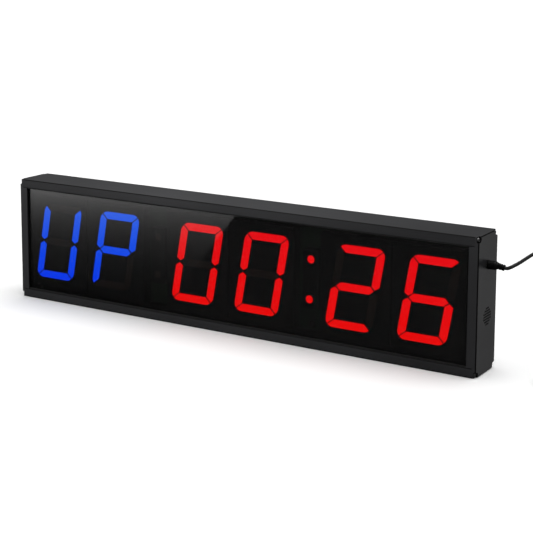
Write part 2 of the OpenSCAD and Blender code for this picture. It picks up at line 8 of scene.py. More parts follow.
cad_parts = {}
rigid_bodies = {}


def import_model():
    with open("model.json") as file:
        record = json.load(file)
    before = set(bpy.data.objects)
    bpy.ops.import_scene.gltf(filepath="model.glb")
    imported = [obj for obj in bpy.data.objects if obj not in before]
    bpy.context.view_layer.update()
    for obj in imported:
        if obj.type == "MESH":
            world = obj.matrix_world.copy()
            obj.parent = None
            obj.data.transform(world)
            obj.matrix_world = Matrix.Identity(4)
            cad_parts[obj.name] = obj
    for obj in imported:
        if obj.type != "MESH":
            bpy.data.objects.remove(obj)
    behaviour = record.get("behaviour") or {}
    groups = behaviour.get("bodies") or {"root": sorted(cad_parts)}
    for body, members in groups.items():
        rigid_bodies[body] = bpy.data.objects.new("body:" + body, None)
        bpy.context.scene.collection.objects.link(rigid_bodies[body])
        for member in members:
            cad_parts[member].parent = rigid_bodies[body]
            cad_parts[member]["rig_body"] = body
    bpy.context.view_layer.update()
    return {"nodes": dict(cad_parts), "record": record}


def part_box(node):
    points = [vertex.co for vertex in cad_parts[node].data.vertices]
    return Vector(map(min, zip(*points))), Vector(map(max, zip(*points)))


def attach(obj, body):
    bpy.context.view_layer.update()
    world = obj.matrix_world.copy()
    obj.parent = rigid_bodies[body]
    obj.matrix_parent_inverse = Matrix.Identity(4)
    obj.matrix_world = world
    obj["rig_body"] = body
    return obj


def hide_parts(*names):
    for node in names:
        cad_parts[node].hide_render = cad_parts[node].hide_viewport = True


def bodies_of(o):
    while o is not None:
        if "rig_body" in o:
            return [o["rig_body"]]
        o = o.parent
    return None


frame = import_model()
nodes = frame["nodes"]
scene = bpy.context.scene
MM = 0.001


# ---- Camera ----

CAMERA_PLACE = (0.8928, -1.3853, 0.4858)
CAMERA_YAW, CAMERA_PITCH, CAMERA_ROLL = 31.62, 8.42, 0.23


def make_camera():
    """Stands where a fit to the case's corners puts the photo's camera."""
    data = bpy.data.cameras.new("camera")
    data.sensor_width = 36.0
    data.lens = 93.55
    data.shift_y = -0.25
    data.clip_end = 60.0
    camera = bpy.data.objects.new("camera", data)
    scene.collection.objects.link(camera)
    camera.matrix_world = (
        Matrix.Translation(CAMERA_PLACE)
        @ Matrix.Rotation(math.radians(CAMERA_YAW), 4, "Z")
        @ Matrix.Rotation(math.radians(90 - CAMERA_PITCH), 4, "X")
        @ Matrix.Rotation(math.radians(CAMERA_ROLL), 4, "Z")
    )
    scene.camera = camera


make_camera()


# ---- Shapes ----

def new_object(name, mesh, body):
    obj = bpy.data.objects.new(name, mesh)
    scene.collection.objects.link(obj)
    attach(obj, body)
    return obj


def smooth_path(points, steps):
    """A Catmull-Rom curve through points, as the CAD's lead follows them."""
    last = len(points) - 1
    out = []
    for i in range(last):
        a, b, c, d = (points[max(i - 1, 0)], points[i], points[i + 1], points[min(i + 2, last)])
        for s in range(steps):
            f = s / steps
            out.append(0.5 * (2 * b + (c - a) * f + (2 * a - 5 * b + 4 * c - d) * f * f
                              + (3 * b - a - 3 * c + d) * f ** 3))
    out.append(points[last])
    return out


# ---- Power lead ----
# Its sizes and places are in millimetres, as in the CAD.

LEAD_D = 4.0
COIL_X, COIL_Y = 394.0, 96.0
COIL_OUT = 20.0
TURN_GAP = 4.1
LAYER_Z = (2.65, 6.74, 10.83, 14.92, 19.01, 23.1)
TURNS = 2
RAMP = 1 / 6
LEAD_START = (344.472, 0, 121.541)
LEAD_ROUTE = (
    LEAD_START, (347.5, 0.5, 121.5), (350, 1.5, 122.5), (352, 3, 123.5), (353.5, 6, 124.5),
    (354.5, 9.5, 125), (354.5, 13.5, 125), (353.5, 18.5, 124.5), (353, 24.5, 124),
    (352.5, 31.5, 124), (354, 39, 125.5), (355.5, 47, 127), (357, 54.5, 128),
    (357, 62, 125.5), (356.5, 69, 120), (356, 75, 112), (356, 80, 101.5), (356, 85, 89),
    (356, 90, 75), (356, 94.5, 60.5), (356.5, 98.5, 46), (358, 102.5, 32), (361, 107, 19.5),
    (366, 111.5, 10), (373, 116, 4.6), (382.5, 119.6, 2.9), (392.5, 120.4, 2.65),
    (403.5, 117, 2.65), (410.8, 110.1, 2.65), (413.9, 102, 2.65), (414, 96, 2.65))
TAIL_ROUTE = ((414, 96, 23.1), (414.2, 89, 22.7), (414.2, 83, 20.6), (414, 77.5, 17.3),
              (414, 72.5, 15.3), (414, 68, 15), (414, 54, 15), (414, 40, 15))


def coil_points(per_turn):
    """The winding from the outside of the lowest layer, clockwise seen from above."""
    out = []
    start_r, sign = COIL_OUT, -1
    for layer in range(len(LAYER_Z)):
        for k in range(TURNS * per_turn):
            t = k / per_turn
            angle = -2 * math.pi * t
            r = start_r + sign * TURN_GAP * t
            z = LAYER_Z[layer]
            if layer and t < RAMP:
                f = t / RAMP
                z = LAYER_Z[layer - 1] + (z - LAYER_Z[layer - 1]) * f * f * (3 - 2 * f)
            out.append(Vector((COIL_X + r * math.cos(angle), COIL_Y + r * math.sin(angle), z)))
        start_r += sign * TURN_GAP * TURNS
        sign = -sign
    return out


def make_lead():
    route = smooth_path([Vector(p) for p in LEAD_ROUTE], 5)
    tail = smooth_path([Vector(p) for p in TAIL_ROUTE], 4)
    points = route[:-1] + coil_points(32) + tail
    curve = bpy.data.curves.new("lead", "CURVE")
    curve.dimensions = "3D"
    curve.bevel_depth = 1.0
    curve.bevel_resolution = 4
    curve.use_fill_caps = True
    spline = curve.splines.new("POLY")
    spline.points.add(len(points) - 1)
    for slot, p in zip(spline.points, points):
        slot.co = (*(p * MM), 1.0)
        slot.radius = LEAD_D / 2 * MM
    spline.use_smooth = True
    lead = new_object("lead", curve, "lead")
    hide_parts("power_lead", "lead_coil")
    return lead


lead = make_lead()


# ---- Materials ----

class Look:
    """A Principled material drawn by nodes on the object's own coordinates, in metres."""

    def __init__(self, name, rough=0.5, metallic=0.0, ior=1.5, **sockets):
        self.slot = name
        self.mat = bpy.data.materials.new(name)
        self.mat.use_nodes = True
        self.tree = self.mat.node_tree
        self.bsdf = self.tree.nodes["Principled BSDF"]
        self.set("Roughness", rough)
        self.set("Metallic", metallic)
        self.set("IOR", ior)
        for key, value in sockets.items():
            self.set(key.replace("_", " "), value)
        self.coords = self.node("ShaderNodeTexCoord").outputs["Object"]

    def node(self, kind, **settings):
        made = self.tree.nodes.new(kind)
        for key, value in settings.items():
            setattr(made, key, value)
        return made

    def set(self, socket, value):
        if isinstance(value, bpy.types.NodeSocket):
            self.tree.links.new(value, self.bsdf.inputs[socket])
        else:
            self.bsdf.inputs[socket].default_value = value

    def feed(self, made, **values):
        for key, value in values.items():
            socket = made.inputs[int(key[1:]) if key[1:].isdigit() else key.replace("_", " ")]
            if isinstance(value, bpy.types.NodeSocket):
                self.tree.links.new(value, socket)
            else:
                socket.default_value = value
        return made

    def stretched(self, x, y, z):
        mapping = self.node("ShaderNodeMapping")
        self.feed(mapping, Vector=self.coords, Scale=(x, y, z))
        return mapping.outputs["Vector"]

    def noise(self, scale, detail=3.0, rough=0.55, vector=None):
        made = self.node("ShaderNodeTexNoise")
        self.feed(made, Vector=vector or self.coords, Scale=scale, Detail=detail, Roughness=rough)
        return made.outputs["Fac"]

    def cells(self, scale):
        made = self.node("ShaderNodeTexVoronoi")
        self.feed(made, Vector=self.coords, Scale=scale)
        return made.outputs["Distance"]

    def waves(self, scale, axis, distortion):
        made = self.node("ShaderNodeTexWave", bands_direction=axis)
        self.feed(made, Vector=self.coords, Scale=scale, Distortion=distortion)
        return made.outputs["Fac"]

    def between(self, value, low, high, start=0.3, end=0.7):
        """value from start to end, as a number from low to high."""
        made = self.node("ShaderNodeMapRange")
        self.feed(made, Value=value, From_Min=start, From_Max=end, To_Min=low, To_Max=high)
        return made.outputs["Result"]

    def blend(self, factor, a, b):
        made = self.node("ShaderNodeMix", data_type="RGBA")
        self.feed(made, _0=factor, _6=a, _7=b)
        return made.outputs[2]

    def drifting(self, scale, dark, light, detail=3.0):
        """A colour that wanders between dark and light."""
        return self.blend(self.between(self.noise(scale, detail), 0.0, 1.0), dark, light)

    def math(self, operation, a, b=0.0):
        made = self.node("ShaderNodeMath", operation=operation)
        self.feed(made, _0=a, _1=b)
        return made.outputs[0]

    def part(self, axis):
        made = self.node("ShaderNodeSeparateXYZ")
        self.feed(made, Vector=self.coords)
        return made.outputs[axis]

    def oblique(self, start=0.5, end=0.9):
        """1 on faces turned halfway between two axes, 0 on faces square to one."""
        split = self.node("ShaderNodeSeparateXYZ")
        normal = self.node("ShaderNodeTexCoord").outputs["Normal"]
        self.tree.links.new(normal, split.inputs[0])
        parts = [self.math("ABSOLUTE", split.outputs[k]) for k in range(3)]
        pairs = [self.math("MULTIPLY", parts[k], parts[k - 1]) for k in range(3)]
        most = self.math("MAXIMUM", self.math("MAXIMUM", pairs[0], pairs[1]), pairs[2])
        return self.between(self.math("MULTIPLY", most, 2.0), 0.0, 1.0, start, end)

    def rougher_edge(self, rough, edge):
        return self.math("ADD", rough, self.math("MULTIPLY", edge, 0.4))

    def relief(self, height, depth, strength=1.0):
        bump = self.node("ShaderNodeBump")
        self.feed(bump, Height=height, Distance=depth, Strength=strength)
        self.set("Normal", bump.outputs[0])


def rgb(r, g=None, b=None):
    return (r, r if g is None else g, r if b is None else b, 1.0)


# Near-black painted shade, laid on rounded edges, chamfers and the walls of holes and recesses.
PAINTED_SHADE_BLACK = rgb(0.002)


def mottled(name, dark, light, rough, grain, depth, scale=60.0, **sockets):
    """A base colour that drifts between dark and light, with a fine grain in relief."""
    look = Look(name, **sockets)
    fine = look.noise(grain, 2.0)
    look.set("Base Color", look.drifting(scale, dark, light))
    look.set("Roughness", look.between(fine, rough[0], rough[1]))
    look.relief(fine, depth)
    return look


def case_metal():
    """Black anodised metal, drawn along its length, with near-black painted shade on its rounded
    edges.
    """
    look = Look("case_metal", Specular_IOR_Level=0.06)
    drawn = look.noise(1.0, 5.0, 0.7, look.stretched(14.0, 1500.0, 1500.0))
    # edge picks the rounded edges, which get near-black painted shade and a rougher finish.
    edge = look.oblique(0.08, 0.3)
    shade = look.drifting(9.0, rgb(0.0108, 0.0109, 0.0115), rgb(0.0143, 0.0144, 0.0152))
    streaked = look.blend(look.between(drawn, 0.0, 0.35), shade, rgb(0.021, 0.0212, 0.0224))
    look.set("Base Color", look.blend(edge, streaked, PAINTED_SHADE_BLACK))
    look.set("Roughness", look.rougher_edge(look.between(drawn, 0.32, 0.42), edge))
    look.relief(drawn, 0.00002, 0.5)
    return look


def cap_plastic():
    """Fine-grained plastic, with near-black painted shade on its cut edges and in its holes and
    recesses.
    """
    look = Look("cap_plastic", Specular_IOR_Level=0.08)
    low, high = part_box("right_end_cap")
    fine = look.noise(2600.0, 2.0)
    pores = look.cells(1500.0)
    shade = look.drifting(12.0, rgb(0.013, 0.0131, 0.0139), rgb(0.0172, 0.0173, 0.0182))
    middle = (low[2] + high[2]) / 2
    half_z = high[2] - middle
    rim, rim_end = 0.0004, 0.0002
    x, y, z = (look.math("ABSOLUTE", value) for value in
               (look.part("X"), look.part("Y"), look.math("SUBTRACT", look.part("Z"), middle)))
    # The next three masks pick faces sunk below the outer face, away from the cap's outer rim: the
    # walls and floors of holes and recesses, which get painted shade.
    sunk = look.between(x, 1.0, 0.0, high[0] - 0.00012, high[0] - 0.00004)
    in_depth = look.between(y, 1.0, 0.0, high[1] - rim, high[1] - rim_end)
    in_height = look.between(z, 1.0, 0.0, half_z - rim, half_z - rim_end)
    painted_recess_shade = look.math("MULTIPLY", sunk, look.math("MULTIPLY", in_depth, in_height))
    # edge joins the oblique chamfer faces with those sunk faces; all get near-black painted shade and
    # a rougher finish.
    edge = look.math("MAXIMUM", look.oblique(), painted_recess_shade)
    look.set("Base Color", look.blend(edge, shade, PAINTED_SHADE_BLACK))
    look.set("Roughness", look.rougher_edge(look.between(fine, 0.36, 0.48), edge))
    look.relief(look.math("ADD", fine, pores), 0.00003, 0.5)
    return look


def smoked_panel():
    """See-through polished plastic with faint smudges."""
    look = Look("smoked_panel", ior=1.49, Alpha=0.62)
    smudge = look.noise(22.0, 4.0, 0.6)
    clean, smudged = rgb(0.0052, 0.0052, 0.0054), rgb(0.0072, 0.0071, 0.0068)
    look.set("Base Color", look.blend(look.between(smudge, 0.0, 1.0), clean, smudged))
    look.set("Roughness", look.between(smudge, 0.012, 0.024))
    return look


def lens(name, low, high, strength):
    """Milky lens with a light behind it: low and high are its colours at the bottom and the top."""
    look = Look(name, rough=0.35, Base_Color=rgb(0.2))
    height = look.between(look.part("Z"), 0.0, 1.0, 0.03, 0.13)
    milky = look.noise(700.0, 2.0)
    colour = look.blend(height, low, high)
    look.set("Emission Color", colour)
    look.set("Base Color", look.blend(0.9, colour, rgb(0.02)))
    look.set("Emission Strength", look.between(milky, strength * 0.94, strength * 1.04))
    look.relief(milky, 0.00002, 0.3)
    return look


def board_green():
    look = Look("board_green", rough=0.3)
    tracks = look.waves(160.0, "Z", 2.5)
    lanes = look.noise(120.0, 1.0)
    weave = look.cells(2400.0)
    mask = look.between(tracks, 0.0, 1.0, 0.62, 0.68)
    copper = look.math("MULTIPLY", mask, look.between(lanes, 0.0, 1.0, 0.48, 0.52))
    look.set("Base Color", look.blend(copper, rgb(0.012, 0.075, 0.03), rgb(0.03, 0.16, 0.055)))
    look.set("Roughness", look.between(weave, 0.25, 0.4, 0.0, 0.5))
    look.relief(copper, 0.00004)
    return look


def brushed(name, dark, light, rough, stretch):
    """Metal with a fine grain, drawn out along the axis where stretch is least."""
    look = Look(name, metallic=1.0)
    drawn = look.noise(1.0, 5.0, 0.65, look.stretched(*stretch))
    shade = look.drifting(80.0, dark, light, 2.0)
    look.set("Base Color", look.blend(look.between(drawn, 0.0, 0.25), shade, light))
    look.set("Roughness", look.between(drawn, rough[0], rough[1]))
    look.relief(drawn, 0.00002, 0.5)
    return look


def spangled_zinc(name):
    """Zinc plate with flakes that catch the light differently."""
    look = Look(name, metallic=1.0)
    flakes = look.cells(420.0)
    fine = look.noise(1800.0, 2.0)
    spangle = look.between(flakes, 0.0, 1.0, 0.1, 0.7)
    look.set("Base Color", look.blend(spangle, rgb(0.42, 0.43, 0.45), rgb(0.6, 0.61, 0.63)))
    look.set("Roughness", look.between(flakes, 0.32, 0.5, 0.0, 0.8))
    look.relief(fine, 0.00001, 0.6)
    return look


def lead_pvc():
    look = Look("lead_pvc", Specular_IOR_Level=0.3)
    fine = look.noise(1600.0, 2.0)
    look.set("Base Color", look.drifting(40.0, rgb(0.006), rgb(0.01)))
    look.set("Roughness", look.between(fine, 0.5, 0.62))
    look.relief(fine, 0.00003, 0.5)
    return look


def tie_fabric():
    look = Look("tie_plastic", rough=0.9, Sheen_Weight=0.5)
    loops = look.cells(1900.0)
    weave = look.waves(900.0, "DIAGONAL", 1.0)
    look.set("Base Color", look.blend(look.between(loops, 0.0, 1.0, 0.0, 0.6), rgb(0.008), rgb(0.03)))
    look.relief(look.math("ADD", loops, weave), 0.0002, 0.8)
    return look


def all_looks():
    """Every look, each named after its material slot."""
    fine_grain, coarse_grain = (900.0, 900.0, 900.0), (500.0, 500.0, 500.0)
    yield case_metal()
    yield cap_plastic()
    yield smoked_panel()
    yield mottled("seal_foam", rgb(0.006), rgb(0.012), (0.85, 0.95), 3000.0, 0.0001, 300.0)
    yield mottled("back_metal", rgb(0.028, 0.0282, 0.030), rgb(0.036, 0.0362, 0.038),
                  (0.42, 0.6), 1300.0, 0.00004, 14.0)
    yield mottled("module_black", rgb(0.008), rgb(0.013), (0.5, 0.7), 2200.0, 0.00004)
    yield lens("lens_blue", rgb(0.0, 0.044, 1.0), rgb(0.0, 0.11, 0.93), 5.3)
    yield lens("lens_red", rgb(0.92, 0.0, 0.0), rgb(0.9, 0.0, 0.004), 5.7)
    yield mottled("lens_unlit", rgb(0.13, 0.07, 0.05), rgb(0.17, 0.09, 0.065),
                  (0.3, 0.4), 700.0, 0.00002)
    yield mottled("led_package", rgb(0.78, 0.74, 0.5), rgb(0.86, 0.82, 0.6),
                  (0.25, 0.4), 900.0, 0.00002)
    yield board_green()
    yield mottled("chip_black", rgb(0.014), rgb(0.022), (0.5, 0.66), 3200.0, 0.00004)
    yield mottled("capacitor_blue", rgb(0.015, 0.03, 0.14), rgb(0.02, 0.04, 0.18),
                  (0.2, 0.32), 400.0, 0.00003)
    yield brushed("cell_steel", rgb(0.55), rgb(0.68), (0.22, 0.36), (900.0, 900.0, 60.0))
    yield mottled("ribbon_grey", rgb(0.36, 0.37, 0.38), rgb(0.44, 0.45, 0.46),
                  (0.5, 0.6), 700.0, 0.00005)
    yield brushed("post_brass", rgb(0.62, 0.44, 0.17), rgb(0.76, 0.57, 0.26),
                  (0.24, 0.38), (700.0, 90.0, 700.0))
    yield mottled("nylon_white", rgb(0.7, 0.67, 0.58), rgb(0.78, 0.75, 0.66),
                  (0.4, 0.5), 900.0, 0.00003)
    yield brushed("screw_zinc", rgb(0.42), rgb(0.58), (0.26, 0.4), fine_grain)
    yield brushed("screw_black", rgb(0.2), rgb(0.3), (0.34, 0.46), fine_grain)
    yield brushed("speaker_steel", rgb(0.3), rgb(0.4), (0.35, 0.5), coarse_grain)
    yield mottled("speaker_paper", rgb(0.012), rgb(0.03), (0.8, 0.95), 1500.0, 0.0001, 500.0)
    yield mottled("wire_pvc", rgb(0.3, 0.012, 0.012), rgb(0.36, 0.02, 0.02),
                  (0.35, 0.45), 900.0, 0.00003)
    yield mottled("socket_plastic", rgb(0.012), rgb(0.018), (0.26, 0.38), 1200.0, 0.00003)
    yield spangled_zinc("hanger_steel")
    yield mottled("plug_pvc", rgb(0.0015), rgb(0.003), (0.4, 0.5), 1400.0, 0.00004,
                  Specular_IOR_Level=0.12)
    yield brushed("plug_nickel", rgb(0.66, 0.64, 0.58), rgb(0.74, 0.72, 0.66),
                  (0.14, 0.26), (60.0, 800.0, 800.0))
    yield lead_pvc()
    yield tie_fabric()
    yield mottled("adapter_plastic", rgb(0.018), rgb(0.026), (0.45, 0.6), 1500.0, 0.00005, 25.0)


LOOKS = {look.slot: look for look in all_looks()}


def dress(obj, look):
    obj.data.materials.clear()
    obj.data.materials.append(LOOKS[look].mat)


dress(lead, "lead_pvc")
for part in frame["record"]["subparts"]:
    dress(nodes[part["node"]], part["material_slot"])


# ---- Finer shapes ----

SHARPEST_SMOOTH = math.radians(34)
LEAST_ROUNDED = math.radians(50)
WELD = 2e-6


def finished(bm, name):
    """A mesh that is smooth except at its sharp edges."""
    mesh = bpy.data.meshes.new(name)
    for face in bm.faces:
        face.smooth = True
    for edge in bm.edges:
        edge.smooth = len(edge.link_faces) == 2 and edge.calc_face_angle(0.0) < SHARPEST_SMOOTH
    bm.to_mesh(mesh)
    bm.free()
    return mesh


def even_normals(obj):
    """Keeps large flat faces flat in the shading, next to rounded edges."""
    weighted = obj.modifiers.new("normals", "WEIGHTED_NORMAL")
    weighted.keep_sharp = True
    weighted.weight = 80


def stands_for(name, mesh, node, body, look):
    """A detailed piece that is shown in place of a CAD node."""
    obj = new_object(name, mesh, body)
    dress(obj, look)
    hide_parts(node)
    even_normals(obj)
    return obj


def sharp_edges(bm, shortest, longest=1.0):
    """The outward edges whose length is in this range."""
    return [e for e in bm.edges if len(e.link_faces) == 2 and e.is_convex
            and e.calc_face_angle(0.0) > LEAST_ROUNDED and shortest <= e.calc_length() < longest]


def chamfer_sound_holes(bm):
    """Breaks the outer rims of the small holes, which are too finely divided for the main rounding."""
    outer = max(v.co.x for v in bm.verts) - 1e-5
    middle, reach = Vector((0.0015, 0.0645)), 0.0125
    longest_rim_edge, chamfer = 0.0003, 0.0003
    rims = [e for e in sharp_edges(bm, 0.0, longest_rim_edge)
            if all(v.co.x > outer and (v.co.yz - middle).length < reach for v in e.verts)]
    bmesh.ops.bevel(bm, geom=rims, offset=chamfer, offset_type="OFFSET", segments=1,
                    profile=0.5, affect="EDGES", clamp_overlap=False)


def eased(node, width, least):
    """A CAD node's own shape, its outward edges at least `least` long rounded by up to `width`.

    The shortest edges limit it, so the end caps, the hangers and the tie come out nearly sharp.
    """
    bm = bmesh.new()
    bm.from_mesh(nodes[node].data)
    bmesh.ops.remove_doubles(bm, verts=bm.verts, dist=WELD)
    bmesh.ops.dissolve_limit(bm, angle_limit=math.radians(0.4), verts=bm.verts, edges=bm.edges)
    bmesh.ops.bevel(bm, geom=sharp_edges(bm, least), offset=width, offset_type="OFFSET",
                    segments=2, profile=0.5, affect="EDGES", clamp_overlap=True)
    if node == "right_end_cap":
        chamfer_sound_holes(bm)
    stands_for("fine_" + node, finished(bm, node), node, body_of(node), slot_of(node))


def slot_of(node):
    return next(p["material_slot"] for p in frame["record"]["subparts"] if p["node"] == node)


def body_of(node):
    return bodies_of(nodes[node])[0]


def islands(node):
    """The lowest and highest corner of each separate solid in a CAD node."""
    bm = bmesh.new()
    bm.from_mesh(nodes[node].data)
    bmesh.ops.remove_doubles(bm, verts=bm.verts, dist=WELD)
    left, found = set(bm.verts), []
    while left:
        todo = [left.pop()]
        places = []
        while todo:
            vert = todo.pop()
            places.append(vert.co.copy())
            for edge in vert.link_edges:
                other = edge.other_vert(vert)
                if other in left:
                    left.remove(other)
                    todo.append(other)
        found.append((Vector(map(min, zip(*places))), Vector(map(max, zip(*places)))))
    bm.free()
    return sorted(found, key=lambda pair: tuple(pair[0]))


def loft(bm, rings):
    """Joins rings of points, each with the same count, into a capped tube of quads."""
    rows = [[bm.verts.new(p) for p in ring] for ring in rings]
    count = len(rows[0])
    for a, b in zip(rows, rows[1:]):
        for k in range(count):
            bm.faces.new((a[k], a[(k + 1) % count], b[(k + 1) % count], b[k]))
    bm.faces.new(rows[0][::-1])
    bm.faces.new(rows[-1])


def turned(bm, profile, sides=40, shape=lambda angle, z: 1.0):
    """Turns a profile of (radius, z) in mm about Z, with shape as a factor on the radius."""
    rings = []
    for r, z in profile:
        angles = [2 * math.pi * k / sides for k in range(sides)]
        rings.append([(r * shape(a, z) * math.cos(a) * MM, r * shape(a, z) * math.sin(a) * MM, z * MM)
                      for a in angles])
    loft(bm, rings)


def rounding(r, z, radius, start, end, steps=5):
    """Profile points round an arc of radius about (r, z), from start to end in degrees."""
    for k in range(steps + 1):
        a = math.radians(start + (end - start) * k / steps)
        yield r + radius * math.cos(a), z + radius * math.sin(a)


def cut(bm, cutter):
    """The mesh bm less the mesh cutter."""
    made = []
    for source in (bm, cutter):
        bmesh.ops.recalc_face_normals(source, faces=source.faces)
        mesh = bpy.data.meshes.new("cut")
        source.to_mesh(mesh)
        source.free()
        obj = bpy.data.objects.new("cut", mesh)
        scene.collection.objects.link(obj)
        made.append(obj)
    boolean = made[0].modifiers.new("cut", "BOOLEAN")
    boolean.operation = "DIFFERENCE"
    boolean.solver = "EXACT"
    boolean.object = made[1]
    result = bmesh.new()
    result.from_mesh(made[0].evaluated_get(bpy.context.evaluated_depsgraph_get()).to_mesh())
    for obj in made:
        mesh = obj.data
        bpy.data.objects.remove(obj)
        bpy.data.meshes.remove(mesh)
    return result


def copied(bm, source, matrix):
    """Adds a copy of the mesh source to bm, moved by matrix."""
    mesh = bpy.data.meshes.new("copied")
    source.to_mesh(mesh)
    mesh.transform(matrix)
    bm.from_mesh(mesh)
    bpy.data.meshes.remove(mesh)


def facing(direction):
    """Turns the Z axis to a direction."""
    return Vector((0, 0, 1)).rotation_difference(Vector(direction)).to_matrix().to_4x4()


def pan_screw(head_r, head_h, shank_r, shank_l):
    """A thread-forming screw with a domed head and a cross recess, its head standing on the origin."""
    pitch, root = 0.8, 0.78
    turns = int((shank_l - 2.0) / pitch)
    thread = [(shank_r * 0.3, -shank_l), (shank_r * root, -shank_l + 1.2)]
    for k in range(turns):
        z = -shank_l + 1.3 + k * pitch
        thread += [(shank_r * root, z), (shank_r, z + pitch * 0.5)]
    rise = head_h * 0.55
    dome = (head_r ** 2 + rise ** 2) / (2 * rise)
    top = [(dome * math.sin(a), head_h - dome + dome * math.cos(a))
           for a in (math.asin(head_r * 0.985 / dome) * k / 8 for k in range(8, 0, -1))]
    profile = thread + [(shank_r * 0.9, -0.3), (shank_r * 0.9, 0.0), (head_r * 0.96, 0.0),
                        (head_r, 0.12), (head_r, head_h - rise - 0.05)] + top
    bm = bmesh.new()
    turned(bm, profile, 36)
    wide, narrow, deep = (head_r * 0.52, head_r * 0.12, head_h * 0.62)
    for quarter in (0, 1):
        ends = [[(x * wide * f * MM, y * narrow * g * MM, z * MM) for x, y in
                 ((-1, -1), (1, -1), (1, 1), (-1, 1))]
                for z, f, g in ((head_h - deep, 0.45, 0.6), (head_h + 0.2, 1.05, 1.1))]
        slit = bmesh.new()
        loft(slit, ends)
        bmesh.ops.rotate(slit, verts=slit.verts, matrix=Matrix.Rotation(quarter * math.pi / 2, 3, "Z"))
        bm = cut(bm, slit)
    return bm


SCREW_HEAD_H = 2.0
SCREW_SHANK_R = 1.2
TURN_PER_SCREW = 37


def make_screws(node, shank_l):
    """Screws in the places of a CAD node's solids, each turned its own way."""
    bm = bmesh.new()
    for k, (low, high) in enumerate(islands(node)):
        size = high - low
        long = max(range(3), key=lambda axis: size[axis])
        head_r = min(size) / 2 / MM
        middle = (low + high) / 2
        outward = Vector((0, 0, 0))
        outward[long] = 1.0 if long == 1 or middle[long] > 0 else -1.0
        place = middle.copy()
        place[long] = (high if outward[long] > 0 else low)[long] - outward[long] * SCREW_HEAD_H * MM
        screw = pan_screw(head_r, SCREW_HEAD_H, SCREW_SHANK_R, shank_l)
        copied(bm, screw, Matrix.Translation(place) @ facing(outward)
               @ Matrix.Rotation(math.radians(TURN_PER_SCREW * k % 90), 4, "Z"))
        screw.free()
    stands_for("fine_" + node, finished(bm, node), node, body_of(node), slot_of(node))


def make_plug_body():
    """A moulded barrel with grip flutes and rounded ends."""
    low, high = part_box("plug_body")
    long, r = (high[0] - low[0]) / MM, (high[1] - low[1]) / 2 / MM
    front, rear = 0.9, 2.2

    def flutes(angle, z):
        count, depth, ramp = 18, 0.035, 0.8
        fade = min(1.0, max(0.0, (z - 2.2) / ramp)) * min(1.0, max(0.0, (long - 2.8 - z) / ramp))
        return 1.0 - depth * fade * (0.5 + 0.5 * math.cos(count * angle))

    profile = [(2.9, 0.0), *rounding(r - front, front, front, -90, 0),
               *((r, front + (long - front - rear) * k / 14) for k in range(1, 14)),
               *rounding(r - rear, long - rear, rear, 0, 90, 8)]
    bm = bmesh.new()
    turned(bm, profile, 144, flutes)
    mesh = finished(bm, "plug_body")
    mesh.transform(Matrix.Translation((low[0], 0, (low[2] + high[2]) / 2)) @ facing((1, 0, 0)))
    return stands_for("fine_plug_body", mesh, "plug_body", "lead", "plug_pvc")


def make_plug_boot():
    """A tapered boot with cut ribs, bent by the weight of its lead."""
    overlap, socket_z = 0.6, 123
    start = Vector((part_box("plug_body")[1][0] / MM - overlap, 0, socket_z))
    end = Vector(LEAD_START)
    bend = Vector((340.6, 0, 122.4))
    count, sides = 44, 40
    thick, taper = 3.85, 0.55
    ribs, groove_depth, ribs_start, ribs_length = 3, 0.8, 0.16, 0.64
    collar_start, collar_r, collar_round, collar_drop = 0.84, 3.5, 0.05, 0.5
    rings = []
    for k in range(count + 1):
        t = k / count
        place = start * (1 - t) ** 2 + bend * 2 * t * (1 - t) + end * t * t
        ahead = ((bend - start) * (1 - t) + (end - bend) * t).normalized()
        up = Vector((0, 1, 0)).cross(ahead)
        r = thick - taper * t
        along_ribs = max(0.0, min(1.0, (t - ribs_start) / ribs_length))
        groove = 0.5 - 0.5 * math.cos(2 * math.pi * ribs * along_ribs)
        r -= groove_depth * groove ** 2
        if t > collar_start:
            r = collar_r - (1.0 - min(1.0, (1.0 - t) / collar_round)) ** 2 * collar_drop
        rings.append([(place + (ahead.cross(up) * math.sin(a) - up * math.cos(a)) * r) * MM
                      for a in (2 * math.pi * j / sides for j in range(sides))])
    bm = bmesh.new()
    loft(bm, rings)
    bmesh.ops.recalc_face_normals(bm, faces=bm.faces)
    return stands_for("fine_plug_boot", finished(bm, "plug_boot"), "plug_boot", "lead", "plug_pvc")


def rounded_outline(w, h, r, steps=6):
    """A rounded rectangle of size w by h about the origin, counterclockwise."""
    out = []
    for quarter, (x, y) in enumerate(((1, 1), (-1, 1), (-1, -1), (1, -1))):
        for k in range(steps + 1):
            a = math.radians(90 * (quarter + k / steps))
            out.append((x * (w / 2 - r) + r * math.cos(a), y * (h / 2 - r) + r * math.sin(a)))
    return out


